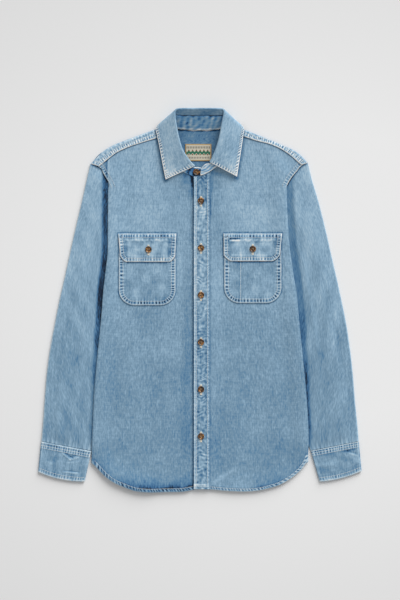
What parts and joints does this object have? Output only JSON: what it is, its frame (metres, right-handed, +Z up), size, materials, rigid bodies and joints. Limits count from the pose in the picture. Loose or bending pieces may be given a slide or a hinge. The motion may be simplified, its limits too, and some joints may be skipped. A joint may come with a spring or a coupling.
{
  "type": "denim shirt",
  "caption": "Long-sleeved denim work shirt with chest pockets, buttoned and laid out face up on a flat surface.",
  "frame": {"origin": "middle of the shirt's outline seen from above, on the surface that it lies on", "axes": "+X to the wearer's left, +Y from the hem towards the collar, +Z up from the surface, out of the shirt's front"},
  "size_m": [0.688, 0.8173, 0.0242],
  "materials": {
    "denim": "washed light blue denim, whitened at its sewn edges",
    "button": "polished dark brown tortoiseshell",
    "label": "woven cream ribbon"
  },
  "bodies": {
    "root": {"back": "denim", "yoke": "denim", "front_right": "denim", "front_left": "denim", "button_band": "denim", "placket": "denim", "collar_stand": "denim", "collar_leaf": "denim", "sleeve_right": "denim", "sleeve_left": "denim", "cuff_right": "denim", "cuff_left": "denim", "pocket_right": "denim", "pocket_left": "denim", "flap_right": "denim", "flap_left": "denim", "label": "label", "button_placket_1": "button", "button_placket_2": "button", "button_placket_3": "button", "button_placket_4": "button", "button_placket_5": "button", "button_placket_6": "button", "button_stand": "button", "button_pocket_right": "button", "button_pocket_left": "button"}
  },
  "joints": []
}
